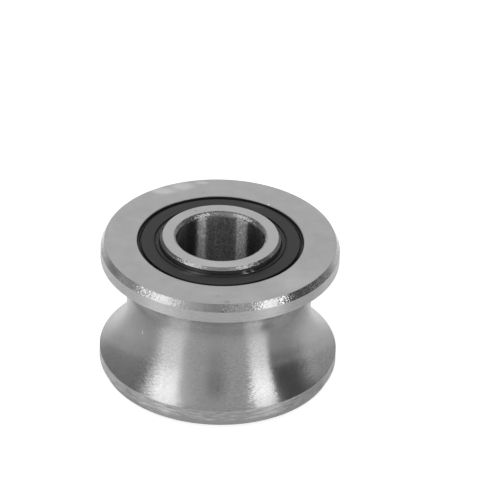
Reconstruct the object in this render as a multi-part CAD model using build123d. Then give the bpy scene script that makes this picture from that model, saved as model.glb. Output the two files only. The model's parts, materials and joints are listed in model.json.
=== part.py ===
# U-groove track roller: a sealed ball bearing with two rows of balls, whose thick outer ring has a
# round groove turned in its rim, so that it runs along a round rail on a fixed axle.
# Sizes are in millimetres. The origin is the middle of the bore, and +Z is the axis of the bore.
from build123d import *
from math import cos, radians, sin
import os

# The envelope: what a buyer of the roller would ask for
bore_diameter = 8.0
outer_diameter = 22.5
outer_ring_width = 13.5
inner_ring_proud = 0.5  # how far the inner ring stands out of the outer ring at each end
rail_diameter = 12.0
rail_clearance = 0.1  # by how much the groove's section radius is larger than the rail's radius

# Balls and raceways
ball_diameter = 3.0
balls_per_row = 8
lower_row_turn = 22.5  # degrees that the lower row lies ahead of the upper one
ball_clearance = 0.03  # between a ball and the bottom of each raceway
race_conformity = 0.52  # section radius of a raceway, as a share of the ball's diameter
inner_race_floor = 0.97  # steel between the bore and the bottom of a raceway
inner_shoulder_height = 0.73
outer_shoulder_height = 0.63
neck_wall = 1.315  # steel between the inside of the outer ring and the bottom of the rail groove

# Edges of the rings
rim_chamfer_radial = 0.35
rim_chamfer_axial = 0.7
recess_edge_chamfer = 0.05
bore_corner_width = 0.45  # radial size of the rounding at each end of the bore
bore_corner_height = 0.7
land_chamfer = 0.25

# Seat for a seal, at each end of the outer ring
seal_seat_depth = 1.15  # from the ring's end face down to the flat that the seal rests on
recess_step = 0.43  # how far the recess is cut outside the ring's inner shoulder
snap_groove_depth = 0.32
snap_groove_width = 0.65

# Seal: rubber moulded on a pressed steel disc
seal_sink = 0.1  # how far the seal's face lies below the ring's end face
rim_sink = 0.2  # how far the rim lies below the seal's face
rib_sink = 0.04
seal_play = 0.03  # between the rubber and the recess, and between the lip and the inner ring
seal_rim_width = 0.18
rim_channel_width = 0.16
rim_channel_depth = 0.35
rib_width = 0.35
rib_stand_off = 0.05  # between the rib and the inner ring
rib_channel_width = 0.14
rib_channel_depth = 0.15
lip_drop = 0.42  # from the top of the rib down to the tip of the lip
lip_tip_height = 0.1
lip_root_height = 0.3
lip_root_width = 0.15

# The disc in each seal
disc_thickness = 0.25
disc_cover = 0.5  # rubber over the disc
disc_foot = 0.1  # rubber under the disc's flange
disc_rim_gap = 0.3  # from the wall of the recess to the flange
disc_hole_gap = 0.42  # from the inner ring to the disc's hole
disc_bend_radius = 0.12  # inside the bend

# Crown cage, moulded in one piece for each row
cage_play = 0.25  # between the cage and the shoulder of each ring
pocket_clearance = 0.1
pocket_floor = 0.5  # behind each pocket
cage_back_depth = 0.75
prong_thickness = 0.45
prong_reach = 0.8  # how far the prongs pass the middle of the ball, so that it snaps in
prong_tip_radius = 0.25
cage_seal_gap = 0.6

# What follows from these sizes
bore_radius = bore_diameter / 2
outer_radius = outer_diameter / 2
outer_face = outer_ring_width / 2
inner_face = outer_face + inner_ring_proud
ball_radius = ball_diameter / 2
race_radius = race_conformity * ball_diameter
pitch_radius = bore_radius + inner_race_floor + ball_clearance + ball_radius
inner_race_bottom = pitch_radius - ball_radius - ball_clearance
outer_race_bottom = pitch_radius + ball_radius + ball_clearance
land_radius = inner_race_bottom + inner_shoulder_height
shoulder_radius = outer_race_bottom - outer_shoulder_height
recess_radius = shoulder_radius + recess_step
snap_groove_radius = recess_radius + snap_groove_depth
groove_radius = rail_diameter / 2 + rail_clearance
groove_centre_radius = shoulder_radius + neck_wall + groove_radius
seal_seat = outer_face - seal_seat_depth
snap_groove_top = seal_seat + snap_groove_width
seal_face = outer_face - seal_sink
rim_top = seal_face - rim_sink
rib_top = seal_face - rib_sink
disc_top = seal_face - disc_cover
disc_bottom = disc_top - disc_thickness
flange_bottom = seal_seat + disc_foot
flange_outside = recess_radius - disc_rim_gap
flange_inside = flange_outside - disc_thickness
disc_hole_radius = land_radius + disc_hole_gap
pocket_radius = ball_radius + pocket_clearance
cage_top = flange_bottom - cage_seal_gap
row_height = cage_top - pocket_floor - pocket_radius


def outline(*points):
    """A closed flat section through points of radius and height."""
    return make_face(Polyline(*points, close=True).edges())


def turned(section):
    """The solid that a section of radius and height sweeps out round the axis of the bore."""
    return revolve(Plane.XZ * section, Axis.Z)


def at_both_ends(shape):
    """A shape for the upper end, with its mirror image at the lower end."""
    return shape + mirror(shape, Plane.XY)


def race_cutter(centre_radius):
    """Two rings with a round section, one for each row, that cut the raceways."""
    return at_both_ends(Pos(0, 0, row_height) * Torus(centre_radius, race_radius))


def seat_cutter():
    """The stepped recess for the upper seal, with the groove that the seal's rim snaps into."""
    return turned(
        outline(
            (shoulder_radius, seal_seat),
            (snap_groove_radius, seal_seat),
            (snap_groove_radius, snap_groove_top),
            (recess_radius, snap_groove_top),
            (recess_radius, outer_face - recess_edge_chamfer),
            (recess_radius + recess_edge_chamfer, outer_face),
            (shoulder_radius, outer_face),
        )
    )


def outer_ring():
    """A turned ring with a bevelled rim, the rail groove, two raceways and two seal seats."""
    blank = turned(
        outline(
            (shoulder_radius, -outer_face),
            (outer_radius - rim_chamfer_radial, -outer_face),
            (outer_radius, -outer_face + rim_chamfer_axial),
            (outer_radius, outer_face - rim_chamfer_axial),
            (outer_radius - rim_chamfer_radial, outer_face),
            (shoulder_radius, outer_face),
        )
    )
    rail_groove = Torus(groove_centre_radius, groove_radius)
    return blank - rail_groove - at_both_ends(seat_cutter()) - race_cutter(outer_race_bottom - race_radius)


def inner_ring():
    """A sleeve with rounded bore corners, a small outer chamfer and two raceways."""
    wall = land_radius - bore_radius
    section = Pos(bore_radius + wall / 2, 0) * Rectangle(wall, 2 * inner_face)
    section = chamfer(section.vertices().group_by(Axis.X)[-1], land_chamfer)
    corner = Rectangle(bore_corner_width, bore_corner_height, align=Align.MIN)
    corner -= Pos(bore_corner_width, 0) * Ellipse(bore_corner_width, bore_corner_height)
    corner = Pos(bore_radius, inner_face - bore_corner_height) * corner
    section -= corner
    section -= mirror(corner, Plane.XZ)
    return turned(section) - race_cutter(inner_race_bottom + race_radius)


def ball(row, number):
    """One ball of the upper row (+1) or of the lower row (-1)."""
    turn = number * 360 / balls_per_row + (lower_row_turn if row < 0 else 0)
    x, y = pitch_radius * cos(radians(turn)), pitch_radius * sin(radians(turn))
    return Pos(x, y, row * row_height) * Sphere(ball_radius)


def upper_cage():
    """A crown cage: a flat ring on the seal's side, with a pair of curved prongs round each ball."""
    inside, outside = land_radius + cage_play, shoulder_radius - cage_play
    back, below = cage_top - cage_back_depth, row_height - pocket_radius
    crown = turned(outline((inside, back), (outside, back), (outside, cage_top), (inside, cage_top)))
    sleeve = turned(outline((inside, below), (outside, below), (outside, cage_top), (inside, cage_top)))
    collar = Circle(pocket_radius + prong_thickness)
    collar -= Pos(0, -prong_reach - pocket_radius) * Rectangle(4 * pocket_radius, 2 * pocket_radius)
    collar = fillet(collar.vertices().group_by(Axis.Y)[0], prong_tip_radius)
    collar = extrude(Plane.YZ * collar, ball_radius, both=True)
    turns = [Rot(0, 0, number * 360 / balls_per_row) for number in range(balls_per_row)]
    balls_at = [turn * Pos(pitch_radius, 0, row_height) for turn in turns]
    for place in balls_at:
        crown += sleeve & (place * collar)
    for place in balls_at:
        crown -= place * Sphere(pocket_radius)
    return crown


def disc_section():
    """The pressed disc: a flat web whose outer edge is bent down into a short flange."""
    section = outline(
        (disc_hole_radius, disc_bottom),
        (flange_inside, disc_bottom),
        (flange_inside, flange_bottom),
        (flange_outside, flange_bottom),
        (flange_outside, disc_top),
        (disc_hole_radius, disc_top),
    )
    inner_bend = section.vertices().sort_by_distance((flange_inside, disc_bottom))[0]
    section = fillet(inner_bend, disc_bend_radius)
    outer_bend = section.vertices().sort_by_distance((flange_outside, disc_top))[0]
    return fillet(outer_bend, disc_bend_radius + disc_thickness)


def rubber_section():
    """The moulding: a bead in the snap groove, a flat face between a rim and a rib, and a lip."""
    bead = snap_groove_radius - seal_play
    rim = recess_radius - seal_play
    channel = rim - seal_rim_width
    face_edge = channel - rim_channel_width
    rib_inside = land_radius + rib_stand_off
    rib_outside = rib_inside + rib_width
    lip_tip = rib_top - lip_drop
    flange_middle = (flange_inside + flange_outside) / 2
    web_middle = (disc_top + disc_bottom) / 2
    section = outline(
        (flange_middle, seal_seat),
        (bead, seal_seat),
        (bead, snap_groove_top - seal_play),
        (rim, snap_groove_top - seal_play),
        (rim, rim_top),
        (channel, rim_top),
        (channel, seal_face - rim_channel_depth),
        (face_edge, seal_face - rim_channel_depth),
        (face_edge, seal_face),
        (rib_outside + rib_channel_width, seal_face),
        (rib_outside + rib_channel_width, seal_face - rib_channel_depth),
        (rib_outside, seal_face - rib_channel_depth),
        (rib_outside, rib_top),
        (rib_inside, rib_top),
        (land_radius + seal_play, lip_tip),
        (land_radius + seal_play, lip_tip - lip_tip_height),
        (land_radius + seal_play + lip_root_width, disc_top - lip_root_height),
        (disc_hole_radius, disc_top - lip_root_height),
        (disc_hole_radius, web_middle),
        (flange_middle, web_middle),
    )
    return section - disc_section()


def seal_pieces():
    """The upper seal's moulding and disc, by the end of their names."""
    return {"rubber": turned(rubber_section()), "insert": turned(disc_section())}


pieces = {"outer_ring": outer_ring(), "inner_ring": inner_ring()}
cage = upper_cage()
pieces["cage_upper"] = cage
pieces["cage_lower"] = Rot(0, 0, lower_row_turn) * mirror(cage, Plane.XY)
for kind, piece in seal_pieces().items():
    pieces[f"seal_upper_{kind}"] = piece
    pieces[f"seal_lower_{kind}"] = mirror(piece, Plane.XY)
for row, side in (("upper", 1), ("lower", -1)):
    for number in range(balls_per_row):
        pieces[f"ball_{row}_{number + 1}"] = ball(side, number)

os.makedirs("parts", exist_ok=True)
for name, piece in pieces.items():
    export_step(piece, f"parts/{name}.step")
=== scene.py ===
import json
import math

import bpy
import numpy as np
from mathutils import Matrix, Vector


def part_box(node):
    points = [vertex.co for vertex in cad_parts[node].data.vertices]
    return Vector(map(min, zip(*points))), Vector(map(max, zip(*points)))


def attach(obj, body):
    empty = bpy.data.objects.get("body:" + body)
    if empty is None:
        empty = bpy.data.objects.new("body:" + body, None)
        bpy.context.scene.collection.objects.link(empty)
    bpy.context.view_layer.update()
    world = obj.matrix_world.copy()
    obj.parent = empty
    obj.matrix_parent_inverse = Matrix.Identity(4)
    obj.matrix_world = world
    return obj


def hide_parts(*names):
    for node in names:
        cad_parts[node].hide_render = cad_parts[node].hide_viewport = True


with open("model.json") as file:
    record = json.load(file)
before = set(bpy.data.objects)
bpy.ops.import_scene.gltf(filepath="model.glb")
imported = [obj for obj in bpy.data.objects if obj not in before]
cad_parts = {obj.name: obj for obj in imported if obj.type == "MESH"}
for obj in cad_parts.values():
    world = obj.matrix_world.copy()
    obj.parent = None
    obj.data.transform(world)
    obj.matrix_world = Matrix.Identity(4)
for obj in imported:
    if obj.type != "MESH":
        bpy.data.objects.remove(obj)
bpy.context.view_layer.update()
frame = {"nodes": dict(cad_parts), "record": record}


# Inner ring: a hardened steel sleeve, ground on its ends, its bore and its outside. It is clamped
# on the axle and stands still, so it is the piece that all the others are carried by.
mm = 0.001
bore = next(m for m in frame["record"]["mounts"] if m["name"] == "axle_bore")
bore_radius = bore["dims"]["r_mm"]
inner_low, inner_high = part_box("inner_ring")
inner_face = inner_high.z / mm
land_radius = inner_high.x / mm
corner_width = 0.45  # of the rounding at each end of the bore, which is a quarter of an ellipse
corner_height = inner_face - bore["dims"]["length_mm"] / 2
ball_low, ball_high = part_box("ball_upper_1")
pitch_radius = (ball_low.x + ball_high.x) / 2 / mm
row_height = (ball_low.z + ball_high.z) / 2 / mm
ball_radius = (ball_high.z - ball_low.z) / 2 / mm
race_conformity = 0.52  # a raceway's section radius as a share of the ball's diameter
race_radius = race_conformity * 2 * ball_radius
ball_clearance = 0.03
land_chamfer = 0.25
ground_edge = 0.03  # rounding that grinding leaves on an edge
race_points, corner_points = 13, 13


def arc(centre, size, start, end, count):
    """Points on a circle or ellipse round centre, from one angle in degrees to another: radius and height
    are the centre's plus the two half sizes times the angle's cosine and sine. None gets a rounding."""
    width, height = size if isinstance(size, tuple) else (size, size)
    angles = np.radians(np.linspace(start, end, count))
    return [(centre[0] + width * math.cos(a), centre[1] + height * math.sin(a), 0.0) for a in angles]


def rounded(corners, steps=5):
    """A closed section in millimetres from corners of (radius, height, rounding).

    A corner with a rounding becomes an arc that touches both its sides. It is drawn as the corner
    plus, along each side, a share of the tangent length: rounding times the tangent of half the turn."""
    points = np.array([c[:2] for c in corners], float)
    owners, made = [], []
    for i, (at, rounding) in enumerate(zip(points, [c[2] for c in corners])):
        if not rounding:
            made.append(at)
            owners.append(i)
            continue
        back, on = points[i - 1] - at, points[(i + 1) % len(points)] - at
        back, on = back / np.linalg.norm(back), on / np.linalg.norm(on)
        half = math.acos(np.clip(back @ on, -1, 1)) / 2
        middle = at + (back + on) / np.linalg.norm(back + on) * rounding / math.sin(half)
        first = at + back * rounding / math.tan(half) - middle
        last = at + on * rounding / math.tan(half) - middle
        turn = math.atan2(first[0] * last[1] - first[1] * last[0], first @ last)
        for share in np.linspace(0, 1, steps + 1):
            c, s = math.cos(turn * share), math.sin(turn * share)
            made.append(middle + (first[0] * c - first[1] * s, first[0] * s + first[1] * c))
            owners.append(i)
    return np.array(made), np.array(owners)


def turned_surface(name, section, finishes, turns=512):
    """A closed surface of revolution in metres: angle runs round Z and the section's radius and height
    stay as they are. A point's normal is the section's own, which is the chord between its two
    neighbours turned a quarter turn outwards. finishes gives each stretch's material by number."""
    angles = np.arange(turns) * 2 * math.pi / turns
    cos, sin = np.cos(angles)[:, None], np.sin(angles)[:, None]
    radius, height = section[:, 0] * mm, section[:, 1] * mm
    flat = np.ones((turns, 1))
    points = np.stack([cos * radius, sin * radius, flat * height], axis=2).reshape(-1, 3)
    chord = np.roll(section, -1, 0) - np.roll(section, 1, 0)
    chord /= np.linalg.norm(chord, axis=1)[:, None]
    normals = np.stack([cos * chord[:, 1], sin * chord[:, 1], -flat * chord[:, 0]], axis=2).reshape(-1, 3)
    count = len(section)
    i, j = np.meshgrid(np.arange(turns), np.arange(count), indexing="ij")
    i_next, j_next = (i + 1) % turns, (j + 1) % count
    quads = np.stack([i * count + j, i_next * count + j, i_next * count + j_next, i * count + j_next], axis=2)
    mesh = bpy.data.meshes.new(name)
    mesh.from_pydata(points, [], quads.reshape(-1, 4).tolist())
    mesh.polygons.foreach_set("use_smooth", np.ones(turns * count, bool))
    mesh.polygons.foreach_set("material_index", np.tile(finishes, turns).astype(np.int32))
    mesh.normals_split_custom_set_from_vertices(normals)
    piece = bpy.data.objects.new(name, mesh)
    bpy.context.scene.collection.objects.link(piece)
    return piece


def put(tree, kind, inputs=None, **settings):
    """A shader node of that kind with its settings, and inputs that are values or other sockets."""
    made = tree.nodes.new("ShaderNode" + kind)
    for key, value in settings.items():
        setattr(made, key, value)
    for key, value in (inputs or {}).items():
        if isinstance(value, bpy.types.NodeSocket):
            tree.links.new(value, made.inputs[key])
        else:
            made.inputs[key].default_value = value
    return made


def maths(tree, operation, *values):
    """The output of a Math node on values or sockets."""
    return put(tree, "Math", dict(enumerate(values)), operation=operation).outputs[0]


def new_group(name, inputs, outputs, kind="Float"):
    """An empty shader node group with named number inputs and outputs of one kind. Returns the tree, what
    the group is given and what it puts out."""
    tree = bpy.data.node_groups.new(name, "ShaderNodeTree")
    for label, value in inputs.items():
        socket = tree.interface.new_socket(label, in_out="INPUT", socket_type="NodeSocketFloat")
        socket.default_value = value
    for label in outputs:
        tree.interface.new_socket(label, in_out="OUTPUT", socket_type="NodeSocket" + kind)
    start, end = tree.nodes.new("NodeGroupInput"), tree.nodes.new("NodeGroupOutput")
    return tree, start.outputs, end.inputs


def distance_from_axis(tree, x, y):
    """The square root of x squared plus y squared."""
    squares = [maths(tree, "MULTIPLY", part, part) for part in (x, y)]
    return maths(tree, "SQRT", maths(tree, "ADD", *squares))


def cells_round_axis(tree, place, given, axial, radial):
    """A place in cells that are stretched round the axis: x and y over the radius, times Round, and then
    the height and the radius, each times its share, over Across."""
    x, y, z = put(tree, "SeparateXYZ", {0: place}).outputs
    radius = distance_from_axis(tree, x, y)
    along = maths(tree, "MULTIPLY_ADD", radius, radial, maths(tree, "MULTIPLY", z, axial))
    return put(tree, "CombineXYZ", {
        "X": maths(tree, "MULTIPLY", maths(tree, "DIVIDE", x, radius), given["Round"]),
        "Y": maths(tree, "MULTIPLY", maths(tree, "DIVIDE", y, radius), given["Round"]),
        "Z": maths(tree, "DIVIDE", along, given["Across"]),
    }).outputs[0]


def tool_marks_group():
    """Fine lines that a wheel or tool leaves round the axis: noise on long thin cells. Axial and Radial
    say whether the lines lie side by side along the height, the radius or both. Waves is the same noise
    on cells about eight times as large."""
    inputs = {"Across": 0.0001, "Round": 12.0, "Axial": 1.0, "Radial": 0.0}
    tree, given, result = new_group("tool marks", inputs, ["Height", "Waves"])
    place = put(tree, "TexCoord").outputs["Object"]
    cell = cells_round_axis(tree, place, given, given["Axial"], given["Radial"])
    fine = put(tree, "TexNoise", {"Vector": cell, "Scale": 1.0, "Detail": 2.0, "Roughness": 0.6})
    broad = put(tree, "TexNoise", {"Vector": cell, "Scale": 0.13, "Detail": 1.0})
    tree.links.new(fine.outputs["Fac"], result["Height"])
    tree.links.new(broad.outputs["Fac"], result["Waves"])
    return tree


def grain_group():
    """Speckle with no direction, as blasting, coarse grinding or moulding leaves it: noise on cells of
    one size. Patches is the same at a much larger size, for stains and uneven polish."""
    tree, given, result = new_group("grain", {"Size": 0.0001, "Patch": 0.002}, ["Height", "Patches"])
    place = put(tree, "TexCoord").outputs["Object"]
    for size, detail, label in (("Size", 2.0, "Height"), ("Patch", 3.0, "Patches")):
        finer = maths(tree, "DIVIDE", 1.0, given[size])
        cells = put(tree, "VectorMath", {0: place, "Scale": finer}, operation="SCALE")
        noise = put(tree, "TexNoise", {"Vector": cells.outputs[0], "Scale": 1.0, "Detail": detail})
        tree.links.new(noise.outputs["Fac"], result[label])
    return tree


tool_marks, grain = tool_marks_group(), grain_group()


def uneven_group():
    """The surface normal, turned a little from place to place, so that reflections get a ragged edge and
    glints. Sideways and Upright times noise on the tool marks' own cells turn it round the axis and along
    it, and Scatter times the three colours of noise on cells of one size turns it any way."""
    inputs = {"Across": 0.0001, "Round": 12.0, "Sideways": 0.0, "Upright": 0.0, "Size": 0.0001,
              "Scatter": 0.0}
    tree, given, result = new_group("uneven surface", inputs, ["Normal"], "Vector")
    place = put(tree, "TexCoord").outputs["Object"]
    cell = cells_round_axis(tree, place, given, 1.0, 0.0)
    lines = put(tree, "TexNoise", {"Vector": cell, "Scale": 1.0, "Detail": 2.0, "Roughness": 0.7})
    turn = maths(tree, "MULTIPLY", maths(tree, "SUBTRACT", lines.outputs["Fac"], 0.5), given["Sideways"])
    green = put(tree, "SeparateColor", {0: lines.outputs["Color"]}).outputs[1]
    rise = maths(tree, "MULTIPLY", maths(tree, "SUBTRACT", green, 0.5), given["Upright"])
    finer = maths(tree, "DIVIDE", 1.0, given["Size"])
    dots_at = put(tree, "VectorMath", {0: place, "Scale": finer}, operation="SCALE").outputs[0]
    dots = put(tree, "TexNoise", {"Vector": dots_at, "Scale": 1.0, "Detail": 1.0}).outputs["Color"]
    tilt = put(tree, "VectorMath", {0: dots, 1: (0.5, 0.5, 0.5)}, operation="SUBTRACT").outputs[0]
    tilt = put(tree, "VectorMath", {0: tilt, "Scale": given["Scatter"]}, operation="SCALE").outputs[0]
    facing = put(tree, "NewGeometry").outputs["Normal"]
    sideways = put(tree, "VectorMath", {0: (0, 0, 1), 1: facing}, operation="CROSS_PRODUCT").outputs[0]
    turned = put(tree, "VectorMath", {0: sideways, "Scale": turn}, operation="SCALE").outputs[0]
    raised = put(tree, "VectorMath", {0: (0, 0, 1), "Scale": rise}, operation="SCALE").outputs[0]
    for offset in (turned, tilt, raised):
        facing = put(tree, "VectorMath", {0: facing, 1: offset}, operation="ADD").outputs[0]
    tree.links.new(put(tree, "VectorMath", {0: facing}, operation="NORMALIZE").outputs[0], result["Normal"])
    return tree


def spot_group():
    """A mask that is 1 at a point and falls to 0 at an ellipsoid round it: the distance is measured with
    each axis divided by its own half size, and Soft is the share of it over which the mask fades."""
    inputs = {"X": 0.0, "Y": 0.0, "Z": 0.0, "Half X": 1.0, "Half Y": 1.0, "Half Z": 1.0, "Soft": 0.5}
    tree, given, result = new_group("spot", inputs, ["Mask"])
    place = put(tree, "SeparateXYZ", {0: put(tree, "TexCoord").outputs["Object"]}).outputs
    total = 0.0
    for axis, at in zip("XYZ", place):
        offset = maths(tree, "SUBTRACT", maths(tree, "DIVIDE", at, mm), given[axis])
        offset = maths(tree, "DIVIDE", offset, given["Half " + axis])
        total = maths(tree, "MULTIPLY_ADD", offset, offset, total)
    inside = maths(tree, "SUBTRACT", 1.0, given["Soft"])
    limits = {"From Min": inside, "From Max": 1.0, "To Min": 1.0, "To Max": 0.0}
    limits["Value"] = maths(tree, "SQRT", total)
    edge = put(tree, "MapRange", limits, interpolation_type="SMOOTHSTEP")
    tree.links.new(edge.outputs[0], result["Mask"])
    return tree


uneven, spot = uneven_group(), spot_group()


# Marks paint stains and dents, and also painted highlights and painted shade
def marked(tree, shade, marks):
    """A shade with marks on it. Each mark is its middle and half sizes in millimetres, its softness and
    its gain, and multiplies the shade by 1 plus its gain where its mask is 1."""
    for middle, half, soft, gain in marks:
        mask = put(tree, "Group", node_tree=spot)
        for axis, at, reach in zip("XYZ", middle, half):
            mask.inputs[axis].default_value = at
            mask.inputs["Half " + axis].default_value = reach
        mask.inputs["Soft"].default_value = soft
        shade = maths(tree, "MULTIPLY", shade, maths(tree, "MULTIPLY_ADD", mask.outputs[0], gain, 1.0))
    return shade


def ground_steel(name, tone=0.43, roughness=0.35, across=0.12, axial=1.0, radial=0.0, round_cells=12.0,
                 mark_depth=0.0, streaks=0.04, speckle=0.1, speckle_depth=0.0, speckle_tone=0.0, patch=2.0,
                 patchiness=0.08, anisotropy=0.0, rotation=0.0, sideways=0.0, upright=0.0, scatter=0.0,
                 grit=0.0, metallic=1.0, marks=()):
    """Bearing steel with tool marks round the axis, speckle, patches and single marks. Sizes and depths
    are in millimetres. A coarse finish also scatters light, so it is less than fully metallic."""
    material = bpy.data.materials.new(name)
    material.use_nodes = True
    tree = material.node_tree
    shader = tree.nodes["Principled BSDF"]
    lines = put(tree, "Group", node_tree=tool_marks)
    cells = {"Across": across * mm, "Round": round_cells, "Axial": axial, "Radial": radial}
    for label, value in cells.items():
        lines.inputs[label].default_value = value
    dots = put(tree, "Group", node_tree=grain)
    dots.inputs["Size"].default_value = speckle * mm
    dots.inputs["Patch"].default_value = patch * mm
    shade = tone
    for height, share in ((dots.outputs["Patches"], patchiness), (lines.outputs["Height"], streaks),
                          (dots.outputs["Height"], speckle_tone)):
        shade = maths(tree, "MULTIPLY", shade, maths(tree, "MULTIPLY_ADD", height, 2 * share, 1 - share))
    shade = marked(tree, shade, marks)
    tree.links.new(put(tree, "CombineColor", {"Red": shade, "Green": shade, "Blue": shade}).outputs[0],
                   shader.inputs["Base Color"])
    waviness = 0.08
    rough = maths(tree, "MULTIPLY_ADD", lines.outputs["Waves"], 2 * waviness, 1 - waviness - grit)
    rough = maths(tree, "MULTIPLY_ADD", lines.outputs["Height"], 2 * grit, rough)
    tree.links.new(maths(tree, "MULTIPLY", rough, roughness), shader.inputs["Roughness"])
    normal = {}
    if sideways or upright or scatter:
        skewed = put(tree, "Group", node_tree=uneven)
        for label, value in (("Across", across * mm), ("Round", round_cells), ("Sideways", sideways),
                             ("Upright", upright), ("Size", speckle * mm), ("Scatter", scatter)):
            skewed.inputs[label].default_value = value
        normal = {"Normal": skewed.outputs[0]}
    grooved = put(tree, "Bump", {"Height": lines.outputs["Height"], "Distance": mark_depth * mm, **normal})
    bumps = put(tree, "Bump", {"Height": dots.outputs["Height"], "Distance": speckle_depth * mm,
                               "Normal": grooved.outputs[0]})
    tree.links.new(bumps.outputs[0], shader.inputs["Normal"])
    shader.inputs["Metallic"].default_value = metallic
    shader.inputs["Anisotropic"].default_value = anisotropy
    shader.inputs["Anisotropic Rotation"].default_value = rotation
    if anisotropy:
        around = put(tree, "Tangent", direction_type="RADIAL", axis="Z").outputs[0]
        tree.links.new(around, shader.inputs["Tangent"])
    return material


# Painted shade: broad darker areas in the bore and on the two sides of the chamfer. On the end: small stains,
# and painted light on its front part
bore_painted_shade = [
    ((-3.7, 1.8, 4.5), (1.97, 2.6, 9.0), 0.17, -0.6),
    ((3.85, 1.8, 4.5), (1.83, 2.6, 9.0), 0.17, -0.65),
    ((0.03, 3.9, 4.5), (1.6, 2.0, 9.0), 0.17, -0.46),
]
inner_end_stains_and_painted_light = [
    # small stains
    ((-2.44, 4.36, 7.25), (0.11, 0.09, 0.3), 0.6, -0.6),
    ((-2.85, 4.3, 7.25), (0.08, 0.08, 0.3), 0.6, -0.35),
    # painted light on the front of the end
    ((0.0, -5.0, 7.25), (4.5, 2.0, 0.5), 0.9, 0.08),
]
chamfer_side_painted_shade = [
    # painted shade on the chamfer's two sides
    ((5.6, 0.5, 7.1), (1.8, 4.2, 1.0), 0.6, -0.5),
    ((-5.6, 0.5, 7.1), (1.8, 4.2, 1.0), 0.6, -0.5),
]
bore_steel = ground_steel("honed_bore", tone=0.6, roughness=0.34, across=0.1, round_cells=40.0, streaks=0.1,
                          speckle=0.15, speckle_tone=0.8, anisotropy=1.0, rotation=0.25, sideways=0.05,
                          upright=2.2, grit=0.1, marks=bore_painted_shade)
corner_steel = ground_steel("turned_bore_corner", tone=0.32, roughness=0.2, speckle=0.13, speckle_depth=0.01,
                            speckle_tone=0.7, scatter=0.75)
inner_end_steel = ground_steel("ground_ring_end", tone=0.45, roughness=0.38, across=0.09, axial=0.0,
                               radial=1.0, round_cells=20.0, mark_depth=0.0005, streaks=0.05, speckle=0.12,
                               speckle_tone=0.05, marks=inner_end_stains_and_painted_light)
edge_steel = ground_steel("turned_chamfer", tone=0.32, roughness=0.18, speckle=0.12, speckle_depth=0.01,
                          speckle_tone=0.6, scatter=0.65, marks=chamfer_side_painted_shade)
outside_steel = ground_steel("ground_outside", roughness=0.3, mark_depth=0.002)
inner_race = pitch_radius - ball_radius - ball_clearance + race_radius
race_half_turn = math.degrees(math.acos((inner_race - land_radius) / race_radius))
BORE, CORNER, END, EDGE, OUTSIDE = range(5)
corner_at = bore_radius + corner_width, inner_face - corner_height
corner_size = corner_width, corner_height
lower_corner = arc((corner_at[0], -corner_at[1]), corner_size, 180, 270, corner_points)
upper_corner = arc(corner_at, corner_size, 90, 180, corner_points)
inner_corners = lower_corner + [(land_radius - land_chamfer, -inner_face, ground_edge),
                                (land_radius, -inner_face + land_chamfer, ground_edge)]
inner_stretches = [CORNER] * (corner_points - 1) + [END, EDGE, OUTSIDE]
for height in (-row_height, row_height):
    inner_corners += arc((inner_race, height), race_radius, 180 + race_half_turn, 180 - race_half_turn,
                         race_points)
    inner_stretches += [OUTSIDE] * race_points
inner_corners += [(land_radius, inner_face - land_chamfer, ground_edge),
                  (land_radius - land_chamfer, inner_face, ground_edge)] + upper_corner
# The steep last stretches of the upper rounding are honed with the bore
honed_stretches = 4
inner_stretches += [EDGE, END] + [CORNER] * (corner_points - honed_stretches) + [BORE] * honed_stretches
inner_section, inner_owner = rounded(inner_corners)
inner_piece = turned_surface("inner_ring_turned", inner_section, np.array(inner_stretches)[inner_owner])
for material in (bore_steel, corner_steel, inner_end_steel, edge_steel, outside_steel):
    inner_piece.data.materials.append(material)
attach(inner_piece, "inner_ring")
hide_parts("inner_ring")


# Balls: two rows of polished chrome steel, which roll between the rings. They are sealed in, so their
# solids stay as they are and only get their finish.
ball_steel = ground_steel("polished_ball", tone=0.6, roughness=0.08, speckle=0.2, patchiness=0.02)
for name, node in frame["nodes"].items():
    if name.startswith("ball_"):
        node.data.materials.clear()
        node.data.materials.append(ball_steel)


# Cages: one crown of moulded nylon for each row, which the balls snap into. They keep their solids too,
# as they run behind the seals.
cage_nylon = bpy.data.materials.new("moulded_nylon")
cage_nylon.use_nodes = True
nylon_tree = cage_nylon.node_tree
nylon_grain = put(nylon_tree, "Group", node_tree=grain)
nylon_colour = put(nylon_tree, "Mix", {"Factor": nylon_grain.outputs["Patches"]}, data_type="RGBA")
nylon_colour.inputs["A"].default_value = (0.62, 0.55, 0.38, 1)
nylon_colour.inputs["B"].default_value = (0.55, 0.48, 0.32, 1)
nylon_shader = nylon_tree.nodes["Principled BSDF"]
nylon_tree.links.new(nylon_colour.outputs["Result"], nylon_shader.inputs["Base Color"])
nylon_shader.inputs["Roughness"].default_value = 0.5
for name, node in frame["nodes"].items():
    if name.startswith("cage_"):
        node.data.materials.clear()
        node.data.materials.append(cage_nylon)


# Outer ring: the thick turned ring that rolls on the rail. Its ends and rim are ground, the two rim
# chamfers are left as turned, and the rail groove is ground to a round section.
outer_low, outer_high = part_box("outer_ring")
outer_radius, outer_face = outer_high.x / mm, outer_high.z / mm
rubber_low, rubber_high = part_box("seal_upper_rubber")
seal_play = 0.03
seal_face = rubber_high.z / mm
seal_seat = rubber_low.z / mm
snap_radius = rubber_high.x / mm + seal_play
rim_chamfer_radial, rim_chamfer_axial = 0.35, 0.7
recess_edge = 0.05
shoulder_height, recess_step, snap_groove_width, neck_wall = 0.63, 0.43, 0.65, 1.315
shoulder_radius = pitch_radius + ball_radius + ball_clearance - shoulder_height
recess_radius = shoulder_radius + recess_step
snap_top = seal_seat + snap_groove_width
groove_radius = 6.1
groove_centre = shoulder_radius + neck_wall + groove_radius
groove_mouth = math.sqrt(groove_radius**2 - (groove_centre - outer_radius) ** 2)
groove_half_turn = math.degrees(math.asin(groove_mouth / groove_radius))
outer_race = pitch_radius + ball_radius + ball_clearance - race_radius
outer_half_turn = math.degrees(math.acos((shoulder_radius - outer_race) / race_radius))

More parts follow.
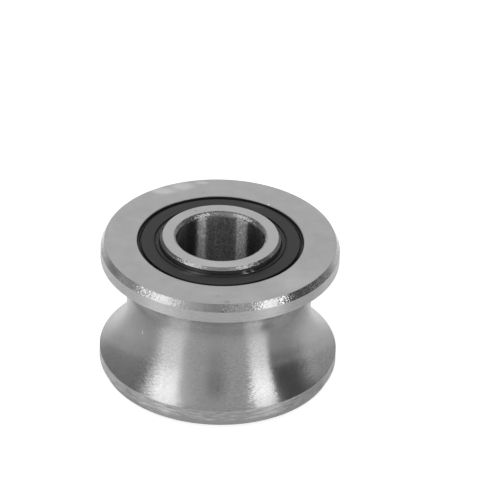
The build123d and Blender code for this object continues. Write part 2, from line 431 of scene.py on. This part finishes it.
upper_outside = [
    (outer_radius, groove_mouth, ground_edge),
    (outer_radius, outer_face - rim_chamfer_axial, ground_edge),
    (outer_radius - rim_chamfer_radial, outer_face, ground_edge),
    (recess_radius + recess_edge, outer_face, ground_edge / 2),
    (recess_radius, outer_face - recess_edge, ground_edge / 2),
    (recess_radius, snap_top, 0.0),
    (snap_radius, snap_top, 0.0),
    (snap_radius, seal_seat, 0.0),
    (shoulder_radius, seal_seat, 0.0),
]
lower_outside = [(radius, -height, rounding) for radius, height, rounding in upper_outside[::-1]]
groove_points = 65
groove_arc = arc((groove_centre, 0), groove_radius, 180 + groove_half_turn, 180 - groove_half_turn,
                 groove_points)[1:-1]
races = []
for height in (row_height, -row_height):
    races += arc((outer_race, height), race_radius, outer_half_turn, -outer_half_turn, race_points)
outer_corners = lower_outside + groove_arc + upper_outside + races
outer_section, outer_owner = rounded(outer_corners)
# Each corner owns the stretch that follows it. The groove runs from its lower mouth to its upper mouth.
FACE, CHAMFER, LAND, GROOVE, RECESS, LOW_LAND, LOW_CHAMFER = range(7)
low_mouth = len(lower_outside) - 1
high_mouth = len(lower_outside) + len(groove_arc)
stretch_finish = np.full(len(outer_corners), RECESS)
stretch_finish[low_mouth - 3:low_mouth] = FACE, LOW_CHAMFER, LOW_LAND
stretch_finish[low_mouth:high_mouth] = GROOVE
stretch_finish[high_mouth:high_mouth + 3] = LAND, CHAMFER, FACE
outer_piece = turned_surface("outer_ring_turned", outer_section, stretch_finish[outer_owner])
# Stains, dents and small spots, and broad areas of painted light and painted shade that stand in for
# reflections
face_stains_and_painted_light = [
    # painted reflection: a lighter area at the back left
    ((-5.6, 8.55, 6.75), (1.7, 0.8, 0.5), 0.7, 0.32),
    ((-3.8, 9.5, 6.75), (1.6, 1.0, 0.5), 0.8, 0.3),
    ((-1.9, 10.2, 6.75), (0.9, 0.35, 0.5), 0.7, 0.3),
    # a painted highlight at the right, and a lighter area at the front
    ((7.0, -6.6, 6.75), (3.4, 3.2, 0.5), 1.0, 0.14),
    ((2.6, -9.9, 6.75), (1.6, 0.9, 0.5), 1.0, 0.08),
    # smudges, a nick and a dark dot
    ((-0.1, -9.5, 6.75), (0.45, 0.3, 0.5), 0.8, -0.16),
    ((0.75, -10.5, 6.75), (0.4, 0.3, 0.5), 0.8, -0.25),
    ((4.47, 6.55, 6.75), (0.17, 0.1, 0.3), 0.5, 1.0),
    ((-10.75, -2.3, 6.7), (0.1, 0.12, 0.2), 0.6, -0.7),
]
groove_spots_and_painted_light = [
    # small spots
    ((-7.08, -5.11, -0.46), (0.16, 0.16, 0.3), 0.7, 0.5),
    ((-8.19, -3.03, 0.49), (0.16, 0.16, 0.22), 0.7, 0.4),
    ((0.08, -9.81, -3.49), (0.2, 0.3, 0.2), 0.8, -0.16),
    ((7.74, -6.22, -3.66), (0.12, 0.12, 0.12), 0.7, 0.4),
    # painted light: broad lighter areas over the groove's front and sides
    ((-0.5, -9.9, 4.9), (12.0, 8.0, 3.6), 1.0, 1.35),
    ((5.6, -8.6, 4.0), (3.2, 3.2, 1.8), 1.0, 0.9),
    ((6.0, -7.4, 2.6), (2.0, 2.4, 1.5), 1.0, 0.7),
    ((-6.3, -7.8, 3.4), (2.6, 2.8, 2.2), 1.0, 0.65),
    ((8.2, -5.5, -4.0), (2.4, 2.8, 2.0), 1.0, 0.5),
    ((4.3, -10.0, 4.5), (1.1, 1.8, 0.9), 1.0, 0.5),
]
chamfer_dot_and_painted_light = [
    # a dark dot
    ((0.36, -11.24, 6.1), (0.17, 0.2, 0.14), 0.6, -0.5),
    # painted glints at the front left and right
    ((-7.3, -8.35, 6.4), (0.9, 0.9, 0.8), 0.9, 0.4),
    ((6.0, -9.3, 6.4), (0.7, 0.7, 0.8), 0.8, 0.5),
    # painted shade on the two sides
    ((-10.0, -4.9, 6.4), (1.8, 2.8, 0.9), 0.9, -0.45),
    ((9.7, -5.0, 6.4), (2.0, 2.8, 0.9), 0.8, -0.45),
]
lower_rim_burr_and_painted_light = [
    # a burr
    ((7.22, -8.63, -4.98), (0.15, 0.15, 0.1), 0.6, 1.2),
    # painted light on the two sides of the rim
    ((-10.6, -3.6, -5.5), (3.4, 5.4, 1.8), 0.8, 0.4),
    ((10.8, -3.4, -5.5), (2.4, 3.2, 1.6), 0.9, 0.3),
]
end_steel = ground_steel("ground_end_face", tone=0.43, roughness=0.4, across=0.1, axial=0.0, radial=1.0,
                         patch=1.4, patchiness=0.12, streaks=0.02, speckle=0.16, speckle_tone=0.05,
                         marks=face_stains_and_painted_light)
chamfer_steel = ground_steel("turned_rim_chamfer", tone=0.49, roughness=0.15, across=0.6, round_cells=75.0,
                             streaks=0.0, speckle=0.13, speckle_depth=0.01, speckle_tone=0.4, sideways=0.22,
                             scatter=0.42, marks=chamfer_dot_and_painted_light)
rim_steel = ground_steel("ground_rim", tone=0.62, roughness=0.42, across=0.13, round_cells=20.0,
                         mark_depth=0.003, streaks=0.2, anisotropy=0.6, rotation=0.25, metallic=0.6)
groove_steel = ground_steel("ground_groove", tone=0.46, roughness=0.21, across=0.07, round_cells=30.0,
                            mark_depth=0.002, streaks=0.3, speckle=0.12, speckle_tone=0.08, anisotropy=0.8,
                            rotation=0.25, sideways=0.17, grit=0.3, patchiness=0.05, marks=groove_spots_and_painted_light)
recess_steel = ground_steel("turned_recess", tone=0.35, roughness=0.4)
lower_rim_steel = ground_steel("turned_lower_rim", tone=0.53, roughness=0.42, across=0.14, round_cells=9.0,
                               mark_depth=0.003, streaks=0.85, anisotropy=0.6, rotation=0.25, patch=0.8,
                               patchiness=0.15, metallic=0.6, marks=lower_rim_burr_and_painted_light)
lower_chamfer_steel = ground_steel("turned_lower_chamfer", tone=0.55, roughness=0.4, speckle=0.2,
                                   speckle_tone=0.1, metallic=0.7)
for material in (end_steel, chamfer_steel, rim_steel, groove_steel, recess_steel, lower_rim_steel,
                 lower_chamfer_steel):
    outer_piece.data.materials.append(material)
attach(outer_piece, "outer_ring")
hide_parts("outer_ring")


# Seals: black nitrile rubber, moulded on a pressed steel disc. The bead at the outside snaps into the
# outer ring's groove, and the lip at the inside runs on the inner ring.
rim_sink, rib_sink = 0.2, 0.04
rim_width, channel_width, channel_depth = 0.18, 0.16, 0.35
rib_width, rib_stand_off, rib_channel_width, rib_channel_depth = 0.35, 0.05, 0.14, 0.15
lip_drop, lip_tip_height, lip_root_width, lip_root_height = 0.42, 0.1, 0.15, 0.3
disc_low, disc_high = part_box("seal_upper_insert")
disc_top, disc_foot, flange_radius = disc_high.z / mm, disc_low.z / mm, disc_high.x / mm
disc_thickness, disc_hole_gap, disc_bend = 0.25, 0.42, 0.12
disc_hole = land_radius + disc_hole_gap
moulded_edge = 0.035  # rounding of the mould's edges

seal_rubber = bpy.data.materials.new("nitrile_rubber")
seal_rubber.use_nodes = True
rubber_tree = seal_rubber.node_tree
rubber_grain = put(rubber_tree, "Group", node_tree=grain)
grain_size, grain_depth = 0.12, 0.006
rubber_grain.inputs["Size"].default_value = grain_size * mm
rubber_shader = rubber_tree.nodes["Principled BSDF"]
rubber_tone = maths(rubber_tree, "MULTIPLY_ADD", rubber_grain.outputs["Patches"], 0.008, 0.014)
# Lighter spots, a lighter moulding line at the left, and a darker and a lighter patch; painted glints on the
# rib's inner edge at the front right, and a painted highlight along the rib at the front left
rubber_tone = marked(rubber_tree, rubber_tone, [
    ((-7.2, -0.49, 6.6), (0.32, 0.06, 0.3), 0.8, 2.5),
    ((-6.0, -0.45, 6.6), (0.24, 0.09, 0.2), 0.7, 6.0),
    ((-3.89, 6.04, 6.6), (0.09, 0.12, 0.2), 0.8, 5.0),
    # painted glints on the rib's inner edge
    ((2.3, -5.32, 6.6), (0.5, 0.1, 0.12), 0.6, 110.0),
    ((3.05, -4.95, 6.6), (0.2, 0.1, 0.12), 0.6, 110.0),
    # a painted highlight along the rib
    ((-2.2, -5.5, 6.63), (1.8, 0.7, 0.14), 1.0, 7.0),
    ((3.0, -5.15, 6.6), (1.8, 1.0, 0.4), 0.7, -0.6),
    ((3.6, 6.8, 6.5), (2.0, 1.2, 0.4), 0.9, 3.0),
])
rubber_colour = put(rubber_tree, "CombineColor", dict.fromkeys(("Red", "Green", "Blue"), rubber_tone))
rubber_tree.links.new(rubber_colour.outputs[0], rubber_shader.inputs["Base Color"])
rubber_shader.inputs["Roughness"].default_value = 0.55
rubber_bump = put(rubber_tree, "Bump", {"Height": rubber_grain.outputs["Height"],
                                        "Distance": grain_depth * mm})
rubber_tree.links.new(rubber_bump.outputs[0], rubber_shader.inputs["Normal"])

bead, rim = snap_radius - seal_play, recess_radius - seal_play
channel, face_edge = rim - rim_width, rim - rim_width - channel_width
rib_inside = land_radius + rib_stand_off
rib_outside = rib_inside + rib_width
lip = land_radius + seal_play
rim_top, rib_top = seal_face - rim_sink, seal_face - rib_sink
bend_outside = disc_bend + disc_thickness
seal_corners = [
    (flange_radius - disc_thickness / 2, seal_seat, 0.0),
    (bead, seal_seat, moulded_edge),
    (bead, snap_top - seal_play, moulded_edge),
    (rim, snap_top - seal_play, 0.0),
    (rim, rim_top, moulded_edge),
    (channel, rim_top, moulded_edge),
    (channel, seal_face - channel_depth, moulded_edge),
    (face_edge, seal_face - channel_depth, moulded_edge),
    (face_edge, seal_face, moulded_edge),
    (rib_outside + rib_channel_width, seal_face, moulded_edge),
    (rib_outside + rib_channel_width, seal_face - rib_channel_depth, moulded_edge),
    (rib_outside, seal_face - rib_channel_depth, moulded_edge),
    (rib_outside, rib_top, moulded_edge),
    (rib_inside, rib_top, moulded_edge),
    (lip, rib_top - lip_drop, moulded_edge),
    (lip, rib_top - lip_drop - lip_tip_height, moulded_edge),
    (lip + lip_root_width, disc_top - lip_root_height, 0.0),
    (disc_hole, disc_top - lip_root_height, 0.0),
    (disc_hole, disc_top, 0.0),
    *arc((flange_radius - bend_outside, disc_top - bend_outside), bend_outside, 90, 0, 7),
    (flange_radius, disc_foot, 0.0),
    (flange_radius - disc_thickness / 2, disc_foot, 0.0),
]
for end, side in (("upper", 1), ("lower", -1)):
    corners = [(radius, side * height, rounding) for radius, height, rounding in seal_corners[::side]]
    seal_section, seal_owner = rounded(corners)
    seal_piece = turned_surface(f"seal_{end}_moulding", seal_section, np.zeros(len(seal_section)), turns=384)
    seal_piece.data.materials.append(seal_rubber)
    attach(seal_piece, "outer_ring")
    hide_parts(f"seal_{end}_rubber")


# Discs: pressed sheet steel, which stiffens each seal. The rubber is moulded round them, so they keep
# their solids.
disc_steel = ground_steel("pressed_disc", tone=0.4, roughness=0.35, axial=0.0, radial=1.0)
for end in ("upper", "lower"):
    node = frame["nodes"][f"seal_{end}_insert"]
    node.data.materials.clear()
    node.data.materials.append(disc_steel)


# Studio: a white sweep and floor, two tall softboxes in front, and grey and black cards between them.
# Azimuths are in degrees to the right of the camera's side of the roller, and elevations above the floor.
def direction(azimuth, elevation):
    """The unit vector at an azimuth and elevation, in degrees."""
    a, e = math.radians(azimuth), math.radians(elevation)
    return Vector((math.sin(a) * math.cos(e), -math.cos(a) * math.cos(e), math.sin(e)))


def card(name, rows, strength, soft=(0, 0, 0, 0), distance=0.6):
    """A curved panel that glows. Every point lies at one distance from the roller. Each row is an
    elevation with the azimuths of the panel's two sides there, and the sides run straight between rows.
    Strength is a number for each row. Each side in soft, which are left, right, bottom and top, fades
    into what lies behind the panel, over that share of its width or height."""
    rows = np.array(rows, float)
    count = 33
    across, along = np.meshgrid(np.linspace(0, 1, count), np.linspace(0, 1, count), indexing="ij")
    e = rows[0, 0] * (1 - along) + rows[-1, 0] * along
    left, right, glow = (np.interp(e, rows[:, 0], values) for values in (rows[:, 1], rows[:, 2], strength))
    a, e = np.radians(left * (1 - across) + right * across), np.radians(e)
    points = distance * np.stack([np.sin(a) * np.cos(e), -np.cos(a) * np.cos(e), np.sin(e)], axis=2)
    cover = np.ones(e.shape)
    for side, width in zip((across, 1 - across, along, 1 - along), soft):
        rise = np.clip(side / max(width, 1e-6), 0, 1)
        cover *= rise * rise * (3 - 2 * rise)
    i, j = np.meshgrid(np.arange(count - 1), np.arange(count - 1), indexing="ij")
    first, last = i * count + j, (i + 1) * count + j
    quads = np.stack([first, first + 1, last + 1, last], axis=2)
    mesh = bpy.data.meshes.new(name)
    mesh.from_pydata(points.reshape(-1, 3), [], quads.reshape(-1, 4).tolist())
    material = bpy.data.materials.new(name)
    material.use_nodes = True
    tree = material.node_tree
    tree.nodes.remove(tree.nodes["Principled BSDF"])
    for label, values in (("glow", glow), ("cover", cover)):
        attribute = mesh.attributes.new(label, "FLOAT", "POINT")
        attribute.data.foreach_set("value", values.ravel().astype(np.float32))
    glow, cover = (put(tree, "Attribute", attribute_name=label).outputs["Fac"] for label in ("glow", "cover"))
    lit = put(tree, "Emission", {"Strength": glow})
    if any(soft):
        clear = put(tree, "BsdfTransparent")
        lit = put(tree, "MixShader", {0: cover, 1: clear.outputs[0], 2: lit.outputs[0]})
    tree.links.new(lit.outputs[0], tree.nodes["Material Output"].inputs["Surface"])
    mesh.materials.append(material)
    panel = bpy.data.objects.new(name, mesh)
    bpy.context.scene.collection.objects.link(panel)
    panel.visible_camera = False


# The softboxes make the two bright streaks in the groove and the bore. The panels near the camera's side
# light what lies between them, and the flags and walls keep the roller's sides dark.
card("right_softbox",
     [(0, 34, 58), (12, 34, 60.5), (19, 35, 61.5), (26, 36, 61.5), (33, 36.5, 63.5), (40, 36, 66.5),
      (47, 37, 71), (54, 40, 78), (61, 46.5, 87), (68, 56, 96)],
     (1.65, 1.77, 1.77, 1.87, 2.0, 2.08, 1.95, 1.7, 1.65, 1.6), soft=(0.22, 0, 0, 0), distance=0.57)
card("left_softbox",
     [(0, -80, -37.5), (12, -81.5, -37), (19, -83, -37.5), (26, -84, -38.5), (33, -87, -40), (40, -92, -41),
      (47, -98, -42), (54, -104, -44), (61, -111, -46), (68, -124, -51)],
     (1.4, 1.6, 1.73, 1.73, 1.85, 1.95, 1.95, 1.8, 2.1, 1.95), soft=(0.5, 0.15, 0, 0), distance=0.57)
card("camera_side", [(-8, -16, 14), (56, -16, 14)], (0.35, 0.35), soft=(0.35, 0.35, 0.3, 0.25), distance=0.58)
card("left_curtain", [(0, -50, -18), (70, -58, -18)], (0.78, 0.78), soft=(0.3, 0.7, 0, 0), distance=0.59)
card("front_card", [(0, -45, 64), (85, -45, 64)], (0.58, 0.55))
card("right_flag", [(0, 56, 122), (12, 58, 122), (33, 62, 122), (47, 72, 122), (60, 84, 124)],
     (0.06, 0.1, 0.11, 0.11, 0.11), soft=(0, 0.5, 0, 0), distance=0.59)
card("right_wall", [(0, 84, 168), (30, 84, 168), (38, 84, 168), (70, 84, 168)], (0.48, 0.48, 0.2, 0.12),
     soft=(0, 0.2, 0, 0), distance=0.62)
card("left_wall", [(0, -108, -45), (70, -108, -45)], (0.36, 0.2), soft=(0.3, 0, 0, 0), distance=0.61)
card("left_flag", [(0, -168, -80), (70, -168, -80)], (0.38, 0.2), soft=(0.4, 0, 0, 0), distance=0.62)
card("ceiling", [(68, -180, 180), (90, -180, 180)], (0.15, 0.15), distance=0.63)


# Floor: milky acrylic under the roller. It shows white to the camera, and steel that looks down on it sees a
# soft haze that glows: it starts outside the roller's foot, where its gap is a painted shadow, is brighter
# behind it as a painted pool of light, and ends at a low slant.
floor_half = 3.0
haze_near, haze_far = 0.003, 0.013
rear_near, rear_far = -0.02, 0.01
bright_near, bright_far = 0.014, 0.026
haze_strength, rear_strength = 0.37, 1.2
floor_tone, floor_roughness, floor_white = 0.6, 0.15, 0.8
floor_polish, grazing_polish = 0.4, 0.57  # what it mirrors from above, and what a low slant adds
floor_mesh = bpy.data.meshes.new("floor")
signs = ((-1, -1), (1, -1), (1, 1), (-1, 1))
floor_corners = [(x * floor_half, y * floor_half, inner_low.z) for x, y in signs]
floor_mesh.from_pydata(floor_corners, [], [(0, 1, 2, 3)])
floor = bpy.data.objects.new("floor", floor_mesh)
bpy.context.scene.collection.objects.link(floor)
paper = bpy.data.materials.new("white_acrylic")
paper.use_nodes = True
paper_tree = paper.node_tree
paper_tree.nodes.remove(paper_tree.nodes["Principled BSDF"])
paper_path = put(paper_tree, "LightPath").outputs
paper_place = put(paper_tree, "TexCoord").outputs["Object"]
paper_x, paper_y, _ = put(paper_tree, "SeparateXYZ", {0: paper_place}).outputs
paper_far = distance_from_axis(paper_tree, paper_x, paper_y)
# The haze's gap round the roller's foot is a painted shadow, and its brighter part behind the roller a
# painted pool of light
outside_painted_shadow, rear_floor, far_floor = (
    put(paper_tree, "MapRange", {"Value": value, "From Min": near, "From Max": far})
    for value, near, far in ((paper_far, haze_near, haze_far), (paper_y, rear_near, rear_far),
                             (paper_far, bright_near, bright_far)))
rear_light = maths(paper_tree, "MULTIPLY", rear_floor.outputs[0], far_floor.outputs[0])
mirrored = maths(paper_tree, "MAXIMUM", paper_path["Is Glossy Ray"], paper_path["Is Transmission Ray"])
slant = put(paper_tree, "LayerWeight", {"Blend": 0.5}).outputs["Facing"]
shine = maths(paper_tree, "POWER", slant, 3.0)
milkiness = maths(paper_tree, "MULTIPLY_ADD", shine, -haze_strength, haze_strength)
haze = maths(paper_tree, "MULTIPLY", mirrored, milkiness)
haze = maths(paper_tree, "MULTIPLY", haze, outside_painted_shadow.outputs[0])
haze = maths(paper_tree, "MULTIPLY", haze, maths(paper_tree, "MULTIPLY_ADD", rear_light, rear_strength, 1.0))
paper_glow = maths(paper_tree, "MULTIPLY_ADD", paper_path["Is Camera Ray"], floor_white, haze)
paper_lit = put(paper_tree, "Emission", {"Strength": paper_glow})
paper_matte = put(paper_tree, "BsdfDiffuse", {"Color": (floor_tone, floor_tone, floor_tone, 1)})
polish = maths(paper_tree, "MULTIPLY_ADD", shine, grazing_polish, floor_polish)
polish_colour = put(paper_tree, "CombineColor", {"Red": polish, "Green": polish, "Blue": polish}).outputs[0]
paper_sheen = put(paper_tree, "BsdfAnisotropic", {"Color": polish_colour, "Roughness": floor_roughness})
paper_side = put(paper_tree, "MixShader", {0: mirrored, 1: paper_matte.outputs[0], 2: paper_sheen.outputs[0]})
paper_both = put(paper_tree, "AddShader", {0: paper_lit.outputs[0], 1: paper_side.outputs[0]})
paper_tree.links.new(paper_both.outputs[0], paper_tree.nodes["Material Output"].inputs["Surface"])
floor_mesh.materials.append(paper)


# Sweep: white paper all round, which lights the roller a little less than it shows to the camera and to
# the steel.
sweep_light, sweep_white = 0.6, 1.0
world = bpy.data.worlds.new("white_sweep")
bpy.context.scene.world = world
world.use_nodes = True
sky_tree = world.node_tree
sky_path = put(sky_tree, "LightPath").outputs
seen = maths(sky_tree, "MAXIMUM", sky_path["Is Camera Ray"],
             maths(sky_tree, "MAXIMUM", sky_path["Is Glossy Ray"], sky_path["Is Transmission Ray"]))
sky_strength = maths(sky_tree, "MULTIPLY_ADD", seen, sweep_white - sweep_light, sweep_light)
sky = sky_tree.nodes["Background"]
sky.inputs["Color"].default_value = (1, 1, 1, 1)
sky_tree.links.new(sky_strength, sky.inputs["Strength"])


# Camera: a long lens, 0.41 m away, which looks down on the roller. The roller's middle lies left of and
# below the middle of the picture, and its axis leans a little to the right.
picture = 480
centre_pixel = (218.94, 300.46)
pixels_per_metre = 10560
camera_distance, camera_elevation, camera_roll = 0.408, 33.28, 1.5
focal_pixels = pixels_per_metre * camera_distance
to_camera = direction(0, camera_elevation)
roll = math.radians(camera_roll)
level_right = Vector((1, 0, 0))
level_up = to_camera.cross(level_right)
right = level_right * math.cos(roll) + level_up * math.sin(roll)
up = level_up * math.cos(roll) - level_right * math.sin(roll)
facing = Matrix((right, up, to_camera)).transposed()
towards_roller = Vector(((centre_pixel[0] - picture / 2) / focal_pixels,
                         -(centre_pixel[1] - picture / 2) / focal_pixels, -1)).normalized()
aim = towards_roller.rotation_difference(Vector((0, 0, -1))).to_matrix()
camera = bpy.data.objects.new("camera", bpy.data.cameras.new("camera"))
bpy.context.scene.collection.objects.link(camera)
camera.matrix_world = Matrix.Translation(to_camera * camera_distance) @ (facing @ aim).to_4x4()
camera.data.lens = camera.data.sensor_width * focal_pixels / picture
camera.data.clip_start, camera.data.clip_end = 0.01, 20
bpy.context.scene.camera = camera
bpy.context.scene.view_settings.view_transform = "Standard"
